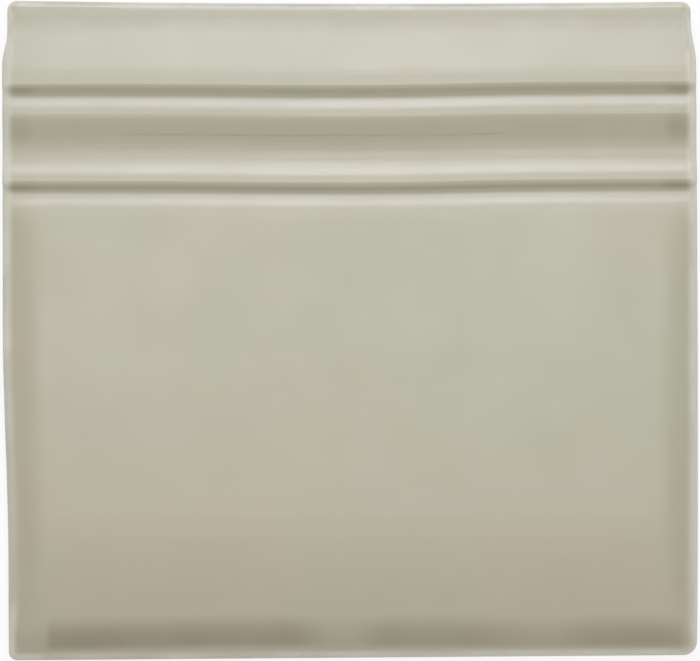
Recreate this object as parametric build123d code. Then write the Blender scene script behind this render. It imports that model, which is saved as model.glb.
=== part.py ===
from build123d import *
import os

# A glazed ceramic baseboard tile: a flat field below a moulded cap, pressed and fired as one piece.
# It lies on its back. +X runs along the moulding, +Y points to the cap, +Z is the face's outward side.
# The origin is the middle of the back. All sizes are in millimetres.

# Overall size
tile_width = 148.0
tile_height = 140.6
field_thickness = 10.0

# Moulding, from the cap's top edge down to the field: each member's run along the face, and its rise or fall
band_run, band_rise = 5.7, 0.55
ogee_run, ogee_rise = 8.5, 2.75
roll_run, roll_rise = 4.2, 0.55
cap_quirk_run, cap_quirk_fall = 1.8, 1.9
lip_run, lip_rise = 3.6, 1.35
cove_fall_run, cove_fall = 5.6, 1.5
cove_floor_run, cove_floor_fall = 4.4, 0.3
cove_rise_run, cove_rise = 2.9, 1.1
bead_run, bead_rise = 2.5, 0.3
field_quirk_run, field_quirk_fall = 1.4, 1.8
shoulder_run, shoulder_rise = 3.2, 1.05

# Radii where one member turns into the next
ogee_radius = 28.0
roll_radius = 16.0
cap_edge_radius = 1.6
cap_quirk_radius = 1.8
lip_radius = 7.5
cove_fall_radius = 14.0
cove_rise_radius = 8.0
bead_back_radius = 6.0
bead_radius = 1.6
field_quirk_radius = 1.4
shoulder_radius = 12.0

# Toe: the field eases down, then falls towards the floor edge
ease_run, ease_fall = 20.0, 0.8
toe_run, toe_fall = 6.5, 1.6
ease_radius = 200.0
toe_radius = 25.0

# Outline, which drifted a little from the rectangle in pressing and firing
top_bow = 0.65
top_right_drop = 0.2
bottom_right_lift = 1.15
left_neck_height, left_neck_blend = 7.0, 6.5
right_neck_height, right_neck_blend = 4.5, 9.0
left_neck_inset = 0.95
right_neck_inset = 1.5
left_waist = 1.2
left_waist_height = 21.0
left_straight_height = 72.0
right_cap_inset = 0.5
right_foot_inset = 0.1
right_swell_height = 52.0
cap_corner_radius = 2.0
left_foot_radius = 1.8
right_foot_radius = 3.0

# Rounding of the face along the whole outline, and of the back's rim
edge_radius = 1.4
back_edge_chamfer = 0.8

# Keying grooves in the back, inside a plain rim
groove_count = 9
groove_pitch = 13.0
groove_width = 7.0
groove_depth = 1.0
groove_rim = 11.0
groove_draft = 25.0


def face_section():
    """The region under the face, seen along X: Y runs to the cap's top and Z out of the face."""
    top = tile_height / 2
    spill = tile_height / 4
    members = [
        (band_run, band_rise),
        (ogee_run, ogee_rise),
        (roll_run, roll_rise),
        (cap_quirk_run, -cap_quirk_fall),
        (lip_run, lip_rise),
        (cove_fall_run, -cove_fall),
        (cove_floor_run, -cove_floor_fall),
        (cove_rise_run, cove_rise),
        (bead_run, bead_rise),
        (field_quirk_run, -field_quirk_fall),
        (shoulder_run, shoulder_rise),
    ]
    radii = [
        ogee_radius,
        roll_radius,
        cap_edge_radius,
        cap_quirk_radius,
        lip_radius,
        cove_fall_radius,
        cove_rise_radius,
        bead_back_radius,
        bead_radius,
        field_quirk_radius,
        shoulder_radius,
        ease_radius,
        toe_radius,
    ]
    y = top
    z = field_thickness - sum(rise for run, rise in members)
    band_slope = band_rise / band_run
    points = [(y + spill, z - spill * band_slope)]
    for run, rise in members:
        y -= run
        z += rise
        points.append((y, z))
    toe_slope = toe_fall / toe_run
    toe_height = field_thickness - ease_fall
    points.append((toe_run + ease_run - top, field_thickness))
    points.append((toe_run - top, toe_height))
    points.append((-top - spill, toe_height - (toe_run + spill) * toe_slope))
    face = FilletPolyline(*points, radius=radii)
    start, end = face @ 0, face @ 1
    under = Polyline(start, (start.X, 0), (end.X, 0), end)
    return Plane.YZ * make_face([face, under])


def outline():
    """The tile's outline on its back, with each side as soft as the fired piece's."""
    left, right = -tile_width / 2, tile_width / 2
    top, bottom = tile_height / 2, -tile_height / 2
    left_neck_start, right_neck_start = top - left_neck_height, top - right_neck_height
    left_neck_end = left_neck_start - left_neck_blend
    right_neck_end = right_neck_start - right_neck_blend
    neck_left, neck_right = left + left_neck_inset, right - right_neck_inset
    top_right = top - top_right_drop
    waist = left + left_waist
    shoulder_right, foot_right = right - right_cap_inset, right - right_foot_inset
    down, up = (0, -1), (0, 1)
    top_edge = ThreePointArc((neck_left, top), (0, top - top_bow), (neck_right, top_right))
    right_neck = Line((neck_right, top_right), (neck_right, right_neck_start))
    right_blend = Spline(
        (neck_right, right_neck_start), (shoulder_right, right_neck_end), tangents=(down, down)
    )
    bottom_right = bottom + bottom_right_lift
    swell = (right, bottom + right_swell_height)
    right_side = ThreePointArc((shoulder_right, right_neck_end), swell, (foot_right, bottom_right))
    bottom_edge = Line((foot_right, bottom_right), (waist, bottom))
    left_foot = Line((waist, bottom), (waist, bottom + left_waist_height))
    left_drift = Spline(
        (waist, bottom + left_waist_height), (left, bottom + left_straight_height), tangents=(up, up)
    )
    left_side = Line((left, bottom + left_straight_height), (left, left_neck_end))
    left_blend = Spline((left, left_neck_end), (neck_left, left_neck_start), tangents=(up, up))
    left_neck = Line((neck_left, left_neck_start), (neck_left, top))
    sides = [
        top_edge, right_neck, right_blend, right_side, bottom_edge,
        left_foot, left_drift, left_side, left_blend, left_neck,
    ]
    plan = make_face(sides)
    corners = [
        ((left, top), cap_corner_radius),
        ((right, top), cap_corner_radius),
        ((left, bottom), left_foot_radius),
        ((right, bottom), right_foot_radius),
    ]
    for place, radius in corners:
        plan = fillet(plan.vertices().sort_by_distance(place)[0], radius)
    return plan


def keying_grooves():
    """Shallow drafted slots that give the wall adhesive its grip."""
    slot = SlotOverall(tile_width - 2 * groove_rim, groove_width)
    places = GridLocations(0, groove_pitch, 1, groove_count)
    return [place * extrude(slot, groove_depth, taper=groove_draft) for place in places]


def baseboard_tile():
    upright = 0.01
    section = extrude(face_section(), tile_width, both=True)
    depth = section.bounding_box().max.Z
    blank = extrude(outline(), 2 * depth)
    tile = blank & section
    walls = tile.faces().filter_by(lambda f: abs(f.normal_at().Z) < upright)
    rim = walls.edges().filter_by(lambda e: abs(e.tangent_at(0.5).Z) < 1 - upright)
    rim = rim.filter_by(lambda e: e.center().Z > back_edge_chamfer)
    tile = fillet(rim, edge_radius)
    back = tile.faces().sort_by(Axis.Z)[0]
    tile = chamfer(back.edges(), back_edge_chamfer)
    return tile - keying_grooves()


tile = baseboard_tile()
print("volume", round(tile.volume), "size", tile.bounding_box().size)
os.makedirs("parts", exist_ok=True)
export_step(tile, "parts/baseboard_tile.step")
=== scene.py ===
import bpy
import bmesh
import math
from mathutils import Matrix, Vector


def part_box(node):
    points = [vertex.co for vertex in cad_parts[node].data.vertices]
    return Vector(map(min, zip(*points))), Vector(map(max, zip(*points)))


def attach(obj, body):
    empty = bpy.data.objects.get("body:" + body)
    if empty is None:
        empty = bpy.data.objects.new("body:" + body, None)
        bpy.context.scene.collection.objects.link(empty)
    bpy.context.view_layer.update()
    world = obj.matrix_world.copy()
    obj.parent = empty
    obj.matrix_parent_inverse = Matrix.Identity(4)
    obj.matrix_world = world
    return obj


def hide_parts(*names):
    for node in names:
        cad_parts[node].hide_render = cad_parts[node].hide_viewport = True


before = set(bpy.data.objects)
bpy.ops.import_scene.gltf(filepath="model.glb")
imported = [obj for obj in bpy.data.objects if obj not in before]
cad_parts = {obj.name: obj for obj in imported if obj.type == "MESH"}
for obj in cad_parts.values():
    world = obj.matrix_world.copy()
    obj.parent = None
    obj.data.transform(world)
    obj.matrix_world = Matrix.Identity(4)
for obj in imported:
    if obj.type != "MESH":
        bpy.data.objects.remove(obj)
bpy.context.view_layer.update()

scene = bpy.context.scene
scene.view_settings.view_transform = "Standard"
mm = 0.001
print("frame loaded", sorted(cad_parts))


# small helpers for the node trees
def feed(tree, socket, value):
    if isinstance(value, bpy.types.NodeSocket):
        tree.links.new(value, socket)
    else:
        socket.default_value = value


def addNode(tree, kind, wires=None, **settings):
    node = tree.nodes.new(kind)
    for key, value in settings.items():
        setattr(node, key, value)
    for key, value in (wires or {}).items():
        feed(tree, node.inputs[key], value)
    return node


def calc(tree, operation, *values):
    node = tree.nodes.new("ShaderNodeMath")
    node.operation = operation
    for socket, value in zip(node.inputs, values):
        feed(tree, socket, value)
    return node.outputs[0]


def product(tree, first, *others):
    for value in others:
        first = calc(tree, "MULTIPLY", first, value)
    return first


def largest(tree, first, *others):
    for value in others:
        first = calc(tree, "MAXIMUM", first, value)
    return first


def remainder(tree, share):    # what a share leaves of 1
    return calc(tree, "SUBTRACT", 1.0, share)


def ease(tree, value, low, high, start=0.0, end=1.0):    # start below low, end above high, soft between
    node = tree.nodes.new("ShaderNodeMapRange")
    node.interpolation_type = "SMOOTHSTEP"
    for socket, given in zip(node.inputs, (value, low, high, start, end)):
        feed(tree, socket, given)
    return node.outputs[0]


def hump(tree, value, centre, width):    # 1 on the centre line, fading to 0 over the width
    away = calc(tree, "ABSOLUTE", calc(tree, "SUBTRACT", value, centre))
    return ease(tree, away, 0.0, width, 1.0, 0.0)


def noise(tree, place, size, detail=2.0, seed=0.0, roughness=0.5):    # size is one lump, in metres
    wires = {"Vector": place, "W": seed, "Scale": 1.0 / size, "Detail": detail, "Roughness": roughness}
    return addNode(tree, "ShaderNodeTexNoise", wires, noise_dimensions="4D").outputs[0]


def blendColour(tree, factor, first, second):
    node = addNode(tree, "ShaderNodeMix", data_type="RGBA", blend_type="MIX")
    for socket, value in ((0, factor), (6, first), (7, second)):    # the colour sockets of the Mix node
        feed(tree, node.inputs[socket], value)
    return node.outputs[2]


def colour(red, green, blue):    # a screen colour, 0 to 255, as Blender's linear one
    steps = [value / 255 for value in (red, green, blue)]
    return tuple(s / 12.92 if s < 0.04045 else ((s + 0.055) / 1.055) ** 2.4 for s in steps) + (1.0,)


# places in the glaze are in mm: along from the tile's middle, course up from it, rim in from the outline
# a ramp is from, to, then the values before and after; the code gives the values that are left out
glazeSeed = 4.0
unevenSize = 9 * mm


def glazePlaces(tree):
    place = addNode(tree, "ShaderNodeTexCoord").outputs["Object"]
    split = addNode(tree, "ShaderNodeSeparateXYZ", {"Vector": place}).outputs
    return {
        "place": place,
        "along": calc(tree, "DIVIDE", split["X"], mm),
        "height": calc(tree, "DIVIDE", split["Z"], mm),
        "course": addNode(tree, "ShaderNodeAttribute", attribute_name="courseY").outputs["Fac"],
        "rim": addNode(tree, "ShaderNodeAttribute", attribute_name="edgeDistance").outputs["Fac"],
        "uneven": noise(tree, place, unevenSize, seed=glazeSeed + 1),
    }


# two tints in soft clouds
clouds = {
    "greyGreen": colour(169, 167, 144),
    "beige": colour(174, 166, 145),
    "size": 46 * mm,
    "share": 0.7,
    "blend": (0.34, 0.66),
    "lean": (0.0, 28.0, -0.0012, 0.00024),    # warmer to the left for each mm, the other way in the cap
    "leanStart": (-36.0, -18.0),              # no lean at the foot
    "warmth": (24.0, 31.0, -0.10, 0.0),       # the field is cooler than the mouldings
    "warmFoot": (-48.0, 4.0, 0.11),
}


def cloudTint(tree, at, c):
    cloud = noise(tree, at["place"], c["size"], seed=glazeSeed)
    cloud = calc(tree, "MULTIPLY_ADD", cloud, c["share"], 0.5 - 0.5 * c["share"])
    lean = ease(tree, at["course"], *c["lean"])
    lean = ease(tree, at["course"], *c["leanStart"], 0.0, lean)
    cloud = calc(tree, "MULTIPLY_ADD", at["along"], lean, cloud)
    warmth = ease(tree, at["course"], *c["warmth"])
    warmth = ease(tree, at["course"], *c["warmFoot"], warmth)
    cloud = calc(tree, "ADD", cloud, warmth)
    return blendColour(tree, ease(tree, cloud, *c["blend"]), c["greyGreen"], c["beige"])


# darker where the glaze runs together, and painted shade: in the quirks and the cove, in a band inside the
# top edge, towards the foot, inside the side rims and at the ends of the hollows
poolsAndShade = {
    "tint": colour(140, 132, 110),
    "lines": (                             # course, half width, share
        # the band inside the top edge is painted shade; the quirks and the cove are pooled glaze with
        # painted shade
        (65.6, 3.2, 0.26),
        (49.7, 1.35, 0.25),
        (41.0, 9.0, 0.16),
        (28.6, 1.35, 0.25),
    ),
    # painted shade, darker towards the foot
    "foot": (-64.0, -44.0, 0.18, 0.0),
    "sideShadeOuter": (1.2, 3.4),               # a soft band inside the rim, mostly on the lower half: partly pooled glaze, partly painted shade where the edge rolls away from the light
    "sideShadeInner": (3.8, 9.0, 1.0, 0.0),
    "sideShadeShare": (-56.0, -8.0, 0.22, 0.02),
    "hollows": ((50.7, 2.0), (42.5, 6.0), (30.5, 2.0)),    # course and half width, darker at their ends with pooled glaze and painted shade
    "endOuter": (0.9, 1.8),
    "endInner": (4.2, 9.0, 1.0, 0.0),
    "endShare": (-20.0, 20.0, 0.42, 0.52),
    "uneven": (0.25, 0.7, 1.1, 0.65),
}


# the share of the darker tint: pooled glaze and painted shade together
def poolAndShadeShare(tree, at, p):
    course, rim = at["course"], at["rim"]
    poolAndShade = ease(tree, course, *p["foot"])
    for line, width, share in p["lines"]:
        poolAndShade = largest(tree, poolAndShade, product(tree, hump(tree, course, line, width), share))
    sideShade = product(tree, ease(tree, rim, *p["sideShadeOuter"]), ease(tree, rim, *p["sideShadeInner"]))
    sideShade = product(tree, sideShade, ease(tree, course, *p["sideShadeShare"]))
    hollow = largest(tree, *[hump(tree, course, line, width) for line, width in p["hollows"]])
    end = product(tree, ease(tree, rim, *p["endOuter"]), ease(tree, rim, *p["endInner"]))
    end = product(tree, end, ease(tree, at["along"], *p["endShare"]), hollow)
    return product(tree, largest(tree, poolAndShade, sideShade, end), ease(tree, at["uneven"], *p["uneven"]))


# painted shade and a painted dark reflection on the rounded toe, with some pooled glaze
toeShade = {
    "dip": (-66.0, -20.0, 0.7, 0.0),       # it lies lower at its left end
    "lower": (-68.4, -66.0),
    "upper": (-65.0, -58.2, 1.0, 0.0),
    "leftEnd": (-65.5, -63.2, 0.3, 1.0),
    "rightEnd": (69.5, 72.2, 1.0, 0.25),
    "share": (-20.0, 2.0, 0.92, 0.78),
    "gaps": ((-2.0, 12.0, 0.6), (40.0, 15.0, 0.45)),    # along, half width, share
    "uneven": (0.3, 0.7, 0.98, 0.84),
}


# painted shade and dark reflection along the toe, lower at its left end and broken by lighter gaps
def toeShadeShare(tree, at, t):
    along = at["along"]
    course = calc(tree, "ADD", at["course"], ease(tree, along, *t["dip"]))
    shadeBand = product(tree, ease(tree, course, *t["lower"]), ease(tree, course, *t["upper"]))
    for ramp in ("leftEnd", "rightEnd", "share"):
        shadeBand = product(tree, shadeBand, ease(tree, along, *t[ramp]))
    for middle, width, share in t["gaps"]:
        gap = product(tree, hump(tree, along, middle, width), share)
        shadeBand = product(tree, shadeBand, remainder(tree, gap))
    return product(tree, shadeBand, ease(tree, at["uneven"], *t["uneven"]))


# paler where the glaze thins on the rim, with a painted highlight there too, and painted highlights along
# the crests
paleRimAndHighlights = {
    "tint": colour(216, 213, 200),
    "rimFrom": 0.2,
    "reach": (55.0, 65.0, 2.7, 2.1),       # how far in the pale rim goes, less at the cap and the foot
    "reachTop": (67.0, 69.0),
    "topReach": 1.4,
    "reachFoot": (-66.0, -60.0, 2.2, 2.7),
    "raised": (4.5, 7.0, 0.2, 1.0),        # mm above the back
    "lowShare": (-20.0, 20.0, 0.4, 0.75),  # less on the lower half, and least on its left
    "lowHalf": (-50.0, 6.0),
    "foot": (-68.0, -65.5),
    "footShare": (-70.0, -40.0, 0.55, 1.0),
    "corner": (-62.0, -52.0),
    "cornerFrom": (60.0, 68.0),
    # painted highlights along the lip and bead crests
    "crestHighlights": (48.3, 34.2, 27.3),
    "crestHighlightWidth": 1.7,
    "crestHighlightShare": 0.26,
    "uneven": (0.3, 0.75, 0.9, 0.5),
    "outermost": (0.2, 1.6),               # palest right at the outline, a painted highlight, but not along the top
    "outermostShare": (-40.0, 40.0, 0.5, 0.95),
    "outermostTop": (66.0, 68.4),
}


# the pale rim where the glaze thins, with painted highlights on the rim and along the crests
def paleRimAndHighlightShare(tree, at, t):
    course, rim, along = at["course"], at["rim"], at["along"]
    reach = ease(tree, course, *t["reach"])
    reach = ease(tree, course, *t["reachTop"], reach, t["topReach"])
    reach = calc(tree, "MINIMUM", reach, ease(tree, course, *t["reachFoot"]))
    raised = ease(tree, at["height"], *t["raised"])
    paleAndLit = product(tree, ease(tree, rim, t["rimFrom"], reach, 1.0, 0.0), raised)
    low = ease(tree, along, *t["lowShare"])
    low = ease(tree, course, *t["lowHalf"], low, 1.0)
    foot = ease(tree, course, *t["foot"], ease(tree, along, *t["footShare"]), 0.0)
    atSide = ease(tree, calc(tree, "ABSOLUTE", along), *t["cornerFrom"])
    corner = ease(tree, course, *t["corner"], atSide, 0.0)
    paleAndLit = product(tree, paleAndLit, largest(tree, low, foot, corner))
    for line in t["crestHighlights"]:
        crestHighlight = hump(tree, course, line, t["crestHighlightWidth"])
        paleAndLit = largest(tree, paleAndLit, product(tree, crestHighlight, t["crestHighlightShare"]))
    paleAndLit = product(tree, paleAndLit, ease(tree, at["uneven"], *t["uneven"]))
    rimHighlight = ease(tree, rim, *t["outermost"], ease(tree, along, *t["outermostShare"]), 0.0)
    rimHighlight = ease(tree, course, *t["outermostTop"], rimHighlight, 0.0)
    return largest(tree, paleAndLit, product(tree, rimHighlight, raised))


# painted shade of a hair-thin crease in the cove, drawn in colour only
creaseShade = {
    "line": 42.2,
    "width": 0.42,
    "swaySize": 30 * mm,
    "swayDetail": 1.0,
    "sway": 1.2,
    "leftEnd": (-54.0, -40.0),
    "rightEnd": (28.0, 36.0, 1.0, 0.0),
    "uneven": (0.35, 0.6, 0.15, 0.5),
}


# the painted shade line of the crease, swaying a little
def creaseShadeShare(tree, at, c):
    sway = noise(tree, at["place"], c["swaySize"], c["swayDetail"], glazeSeed + 6)
    line = hump(tree, calc(tree, "MULTIPLY_ADD", sway, c["sway"], at["course"]), c["line"], c["width"])
    for ramp in ("leftEnd", "rightEnd"):
        line = product(tree, line, ease(tree, at["along"], *c[ramp]))
    return product(tree, line, ease(tree, at["uneven"], *c["uneven"]))


# bare clay on the back and below the wavy end of the glaze, and the finish of both
finish = {
    "bisque": colour(222, 205, 178),
    "bisqueDark": colour(196, 172, 140),
    "bisqueBlend": (0.3, 0.75),
    "bisqueRoughness": 0.86,
    "grainSize": 0.7 * mm,
    "grainDetail": 4.0,
    "grainBite": 0.65,
    "grainRelief": 2.0,
    "glazeLimit": (3.2, 3.6),              # mm above the back, where the glaze stops on the edges
    "limitWave": 2.4,
    "limitWaveSize": 11 * mm,
    "glossSize": 14 * mm,
    "glossDetail": 3.0,
    "glossRoughness": (0.3, 0.7, 0.20, 0.265),
    "peelSize": 2.2 * mm,                  # orange peel
    "peelRelief": 0.25,
    "bumpStrength": 0.5,
    "bumpDepth": 0.08 * mm,
    "ior": 1.58,
}


def glazeMaterial(f):
    material = bpy.data.materials.new("stone_glaze")
    material.use_nodes = True
    tree = material.node_tree
    tree.nodes.clear()
    at = glazePlaces(tree)
    place = at["place"]

    # pooled glaze with painted shade, then the pale rim with painted highlights, then the painted shade of
    # the crease
    pooledAndShaded = largest(tree, poolAndShadeShare(tree, at, poolsAndShade), toeShadeShare(tree, at, toeShade))
    skin = blendColour(tree, pooledAndShaded, cloudTint(tree, at, clouds), poolsAndShade["tint"])
    skin = blendColour(tree, paleRimAndHighlightShare(tree, at, paleRimAndHighlights), skin, paleRimAndHighlights["tint"])
    skin = blendColour(tree, creaseShadeShare(tree, at, creaseShade), skin, poolsAndShade["tint"])

    grain = noise(tree, place, f["grainSize"], f["grainDetail"], glazeSeed + 2, f["grainBite"])
    clay = blendColour(tree, ease(tree, grain, *f["bisqueBlend"]), f["bisque"], f["bisqueDark"])
    wave = calc(tree, "SUBTRACT", noise(tree, place, f["limitWaveSize"], seed=glazeSeed + 3), 0.5)
    cover = ease(tree, calc(tree, "MULTIPLY_ADD", wave, f["limitWave"], at["height"]), *f["glazeLimit"])
    bare = remainder(tree, cover)
    surface = blendColour(tree, cover, clay, skin)

    gloss = noise(tree, place, f["glossSize"], f["glossDetail"], glazeSeed + 4)
    gloss = ease(tree, gloss, *f["glossRoughness"])
    rough = calc(tree, "MULTIPLY_ADD", bare, f["bisqueRoughness"], product(tree, cover, gloss))
    peel = product(tree, noise(tree, place, f["peelSize"], seed=glazeSeed + 5), f["peelRelief"])
    relief = calc(tree, "MULTIPLY_ADD", bare, product(tree, grain, f["grainRelief"]), peel)
    bump = addNode(tree, "ShaderNodeBump",
                   {"Strength": f["bumpStrength"], "Distance": f["bumpDepth"], "Height": relief})
    shader = addNode(tree, "ShaderNodeBsdfPrincipled",
                     {"Base Color": surface, "Roughness": rough, "IOR": f["ior"],
                      "Normal": bump.outputs["Normal"]})
    end = addNode(tree, "ShaderNodeOutputMaterial")
    tree.links.new(shader.outputs["BSDF"], end.inputs["Surface"])
    return material


stoneGlaze = glazeMaterial(finish)
print("glaze mixed")


# the tile itself: the pressed solid cut into small faces, then softened by its glaze
tile = {
    "netStep": 1.0 * mm,        # width of the small faces
    "backTop": 2.0 * mm,        # the back lies below this, and keeps the solid's own faces
    "mergeGap": 0.001 * mm,
    "flatAngle": 0.1,           # degrees
    "cutGap": 0.02 * mm,
    "passedGap": 0.03 * mm,
    "sharpAngle": 32,           # degrees
    "Wave Height": 0.10 * mm,   # slow swell of the fired face
    "Wave Size": 24 * mm,
    "Edge Width": 9.0 * mm,     # how far in the face starts to roll down
    "Edge Fall": 1.0 * mm,
    "Line Drift": 1.0,          # 0 keeps the mouldings dead straight
    "Seed": 7.0,
}


def cutNet(t):
    bm = bmesh.new()
    bm.from_mesh(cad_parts["baseboard_tile"].data)
    bmesh.ops.remove_doubles(bm, verts=bm.verts, dist=t["mergeGap"])
    face = [f for f in bm.faces if f.calc_center_median().z > t["backTop"]]    # all but the back
    corners = list({v for f in face for v in f.verts})
    sides = list({e for f in face for e in f.edges})
    bmesh.ops.dissolve_limit(bm, angle_limit=math.radians(t["flatAngle"]), verts=corners, edges=sides)
    low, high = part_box("baseboard_tile")
    for axis, normal in ((1, Vector((0, 1, 0))), (0, Vector((1, 0, 0)))):
        ahead = [f for f in bm.faces if f.calc_center_median().z > t["backTop"]]
        for count in range(1, int((high[axis] - low[axis]) / t["netStep"]) + 1):
            at = low[axis] + count * t["netStep"]
            around = {e for f in ahead for e in f.edges} | {v for f in ahead for v in f.verts}
            cut = bmesh.ops.bisect_plane(bm, geom=list(around) + ahead, dist=t["cutGap"],
                                         plane_co=normal * at, plane_no=normal)
            ahead = [f for f in cut["geom"] if isinstance(f, bmesh.types.BMFace)]
            ahead = [f for f in ahead if max(v.co[axis] for v in f.verts) > at + t["passedGap"]]
    mesh = bpy.data.meshes.new("tile_net")
    bm.to_mesh(mesh)
    bm.free()
    stored = mesh.attributes.get("custom_normal")    # the solid's normals don't fit the new faces
    if stored:
        mesh.attributes.remove(stored)
    return mesh


# how the glaze moves the face, in metres
relief = {
    "inputs": ("Wave Height", "Wave Size", "Edge Width", "Edge Fall", "Line Drift", "Seed"),
    "wallTilt": 0.2,                                    # a face that looks up less than this is an edge
    "upper": (2 * mm, 7 * mm),                          # the face moves, the back stays
    "fallCurve": 2.2,
    "fallMoulding": (16 * mm, 30 * mm, 1.0, 0.05),      # the mouldings stay crisp at their ends
    "fallRight": (20 * mm, 60 * mm),                    # and the upper right is flatter
    "fallUpRight": (-25 * mm, 5 * mm, 1.0, 0.65),
    "swellDetail": 2.0,
    "driftHalf": 74 * mm,                               # the mouldings wander a little from left to right
    "driftSpots": ((0.0, 0.48), (0.22, 0.50), (0.48, 0.32), (0.78, 0.76), (1.0, 0.86)),
    "driftDepth": 1.4 * mm,
    "driftLower": (10 * mm, 26 * mm),
    "driftUpper": (52 * mm, 68 * mm, 1.0, 0.0),
}


def reliefTree(material, r):
    tree = bpy.data.node_groups.new("glaze_relief", "GeometryNodeTree")
    face = tree.interface
    face.new_socket("Geometry", in_out="INPUT", socket_type="NodeSocketGeometry")
    for name in r["inputs"]:
        face.new_socket(name, in_out="INPUT", socket_type="NodeSocketFloat")
    face.new_socket("Geometry", in_out="OUTPUT", socket_type="NodeSocketGeometry")
    given = addNode(tree, "NodeGroupInput").outputs
    place = addNode(tree, "GeometryNodeInputPosition").outputs[0]
    x, y, z = addNode(tree, "ShaderNodeSeparateXYZ", {"Vector": place}).outputs

    # distance from the outline, seen from above
    turn = addNode(tree, "GeometryNodeInputNormal").outputs[0]
    turnZ = addNode(tree, "ShaderNodeSeparateXYZ", {"Vector": turn}).outputs["Z"]
    isWall = calc(tree, "LESS_THAN", calc(tree, "ABSOLUTE", turnZ), r["wallTilt"])
    walls = addNode(tree, "GeometryNodeSeparateGeometry",
                    {"Geometry": given["Geometry"], "Selection": isWall}, domain="FACE").outputs["Selection"]
    flat = addNode(tree, "ShaderNodeCombineXYZ", {"X": x, "Y": y}).outputs[0]
    outline = addNode(tree, "GeometryNodeSetPosition", {"Geometry": walls, "Position": flat}).outputs[0]
    near = addNode(tree, "GeometryNodeProximity", {"Sample Position": flat}, target_element="EDGES")
    tree.links.new(outline, near.inputs[0])
    rim = near.outputs["Distance"]

    # roll-off towards the edges
    inward = calc(tree, "MINIMUM", calc(tree, "DIVIDE", rim, given["Edge Width"]), 1.0)
    fall = calc(tree, "POWER", remainder(tree, inward), r["fallCurve"])
    fall = product(tree, fall, given["Edge Fall"], ease(tree, y, *r["fallMoulding"]))
    upRight = ease(tree, x, *r["fallRight"], 1.0, ease(tree, y, *r["fallUpRight"]))
    fall = product(tree, fall, upRight)

    # slow swell
    lump = addNode(tree, "ShaderNodeTexNoise",
                   {"Vector": place, "W": given["Seed"], "Detail": r["swellDetail"]}, noise_dimensions="4D")
    feed(tree, lump.inputs["Scale"], calc(tree, "DIVIDE", 1.0, given["Wave Size"]))
    swell = product(tree, calc(tree, "SUBTRACT", lump.outputs[0], 0.5), given["Wave Height"])
    upper = ease(tree, z, *r["upper"])
    rise = product(tree, calc(tree, "SUBTRACT", swell, fall), upper)

    # drift of the mouldings
    across = ease(tree, x, -r["driftHalf"], r["driftHalf"])
    across.node.interpolation_type = "LINEAR"
    bend = addNode(tree, "ShaderNodeFloatCurve", {"Value": across})
    curve = bend.mapping.curves[0]
    curve.points[0].location = r["driftSpots"][0]
    curve.points[1].location = r["driftSpots"][-1]
    for spot in r["driftSpots"][1:-1]:
        curve.points.new(*spot)
    bend.mapping.update()
    drift = product(tree, calc(tree, "SUBTRACT", bend.outputs[0], 0.5), r["driftDepth"])
    moulded = product(tree, ease(tree, y, *r["driftLower"]), ease(tree, y, *r["driftUpper"]))
    slide = product(tree, drift, moulded, given["Line Drift"], upper)

    # what the glaze needs to know, in mm
    kept = given["Geometry"]
    for name, value in (("courseY", y), ("edgeDistance", rim)):
        kept = addNode(tree, "GeometryNodeStoreNamedAttribute",
                       {"Geometry": kept, "Name": name, "Value": calc(tree, "DIVIDE", value, mm)},
                       data_type="FLOAT", domain="POINT").outputs[0]
    shift = addNode(tree, "ShaderNodeCombineXYZ", {"Y": slide, "Z": rise}).outputs[0]
    moved = addNode(tree, "GeometryNodeSetPosition", {"Geometry": kept, "Offset": shift}).outputs[0]
    real = addNode(tree, "GeometryNodeRealizeInstances", {"Geometry": moved}).outputs[0]
    dressed = addNode(tree, "GeometryNodeSetMaterial", {"Geometry": real, "Material": material}).outputs[0]
    end = addNode(tree, "NodeGroupOutput")
    tree.links.new(dressed, end.inputs["Geometry"])
    return tree


def glazedTile(t):
    draft = bpy.data.objects.new("tile_draft", cutNet(t))
    scene.collection.objects.link(draft)
    modifier = draft.modifiers.new("glaze_relief", "NODES")
    modifier.node_group = reliefTree(stoneGlaze, relief)
    for item in modifier.node_group.interface.items_tree:
        if item.in_out == "INPUT" and item.name in t:
            modifier[item.identifier] = t[item.name]
    graph = bpy.context.evaluated_depsgraph_get()
    mesh = bpy.data.meshes.new_from_object(draft.evaluated_get(graph))
    mesh.name = "glazed_tile"
    mesh.shade_smooth()
    mesh.set_sharp_from_angle(angle=math.radians(t["sharpAngle"]))
    draft.modifiers.remove(modifier)
    bpy.data.objects.remove(draft)
    piece = bpy.data.objects.new("glazed_tile", mesh)
    scene.collection.objects.link(piece)
    return piece


glazedPiece = glazedTile(tile)
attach(glazedPiece, "root")
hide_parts("baseboard_tile")
print("tile glazed,", len(glazedPiece.data.polygons), "faces")


# white table under the tile
table = {
    "half": 3.0,
    "drop": 0.1 * mm,
    "diffuse": 0.16,
    "lift": 0.84,    # added only where the camera or a reflection sees the table
}


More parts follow.
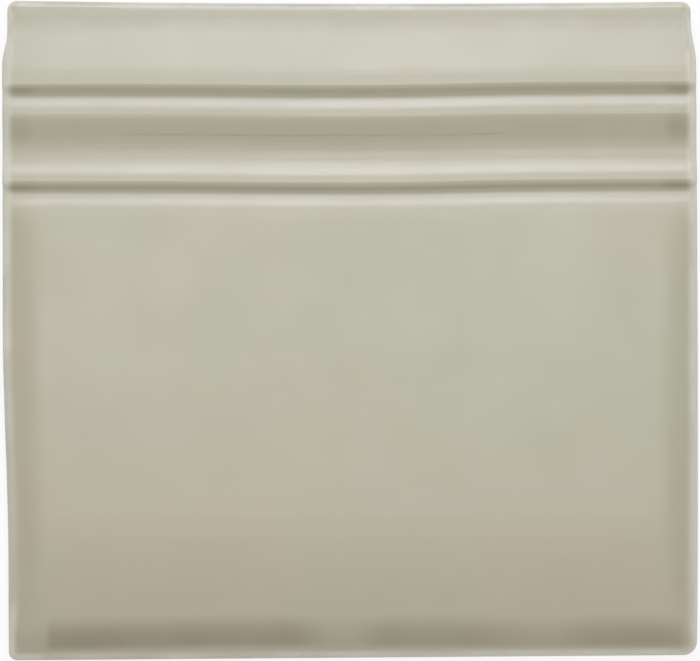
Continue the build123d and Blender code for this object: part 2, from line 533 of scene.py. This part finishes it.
def whiteTable(t):
    half, level, white = t["half"], -t["drop"], t["diffuse"]
    mesh = bpy.data.meshes.new("white_table")
    corners = [(-half, -half, level), (half, -half, level), (half, half, level), (-half, half, level)]
    mesh.from_pydata(corners, [], [(0, 1, 2, 3)])
    floor = bpy.data.objects.new("white_table", mesh)
    scene.collection.objects.link(floor)
    material = bpy.data.materials.new("white_paper")
    material.use_nodes = True
    tree = material.node_tree
    tree.nodes.clear()
    ray = addNode(tree, "ShaderNodeLightPath").outputs
    seen = largest(tree, ray["Is Camera Ray"], ray["Is Glossy Ray"], ray["Is Transmission Ray"])
    paper = addNode(tree, "ShaderNodeBsdfDiffuse", {"Color": (white, white, white, 1.0)})
    lift = addNode(tree, "ShaderNodeEmission", {"Strength": product(tree, seen, t["lift"])})
    both = addNode(tree, "ShaderNodeAddShader")
    tree.links.new(paper.outputs[0], both.inputs[0])
    tree.links.new(lift.outputs[0], both.inputs[1])
    end = addNode(tree, "ShaderNodeOutputMaterial")
    tree.links.new(both.outputs[0], end.inputs["Surface"])
    mesh.materials.append(material)
    return floor


whiteTable(table)
print("table laid")


# soft light from beyond the cap, a weaker one overhead, and a dim room
lights = {
    "key": {
        "at": (0.0, 0.72, 0.80),
        "wide": 0.34,
        "deep": 0.80,
        "watts": 3.75,
        "tint": (0.955, 0.975, 1.085),
    },
    "top": {
        "at": (0.0, 0.16, 1.15),
        "wide": 0.42,
        "deep": 0.44,
        "watts": 1.6,
        "tint": (1.0, 1.0, 1.0),
    },
    "room": 0.70,
}


def softLight(name, given):
    lamp = bpy.data.lights.new(name, "AREA")
    lamp.shape = "RECTANGLE"
    lamp.size = given["wide"]
    lamp.size_y = given["deep"]
    lamp.energy = given["watts"]
    lamp.color = given["tint"]
    holder = bpy.data.objects.new(name, lamp)
    holder.location = given["at"]
    holder.rotation_euler = (-Vector(given["at"])).to_track_quat("-Z", "Y").to_euler()
    holder.visible_camera = False
    scene.collection.objects.link(holder)


def dimRoom(strength):
    world = bpy.data.worlds.new("room")
    scene.world = world
    world.use_nodes = True
    background = world.node_tree.nodes["Background"]
    background.inputs["Color"].default_value = (1.0, 1.0, 1.0, 1.0)
    background.inputs["Strength"].default_value = strength


softLight("key", lights["key"])
softLight("top", lights["top"])
dimRoom(lights["room"])
print("lights set")


# camera straight above the face
shot = {
    "aboveFace": 1.3,
    "faceHeight": 10 * mm,
    "frameWidth": 148.75 * mm,
    "centre": (-0.06 * mm, 0.04 * mm),
    "sensor": 36.0,
    "farthest": 20.0,
}


def lookDown(s):
    data = bpy.data.cameras.new("camera")
    data.sensor_width = s["sensor"]
    data.lens = s["sensor"] * s["aboveFace"] / s["frameWidth"]
    data.clip_end = s["farthest"]
    camera = bpy.data.objects.new("camera", data)
    camera.location = (*s["centre"], s["faceHeight"] + s["aboveFace"])
    scene.collection.objects.link(camera)
    scene.camera = camera


lookDown(shot)
print("camera set")
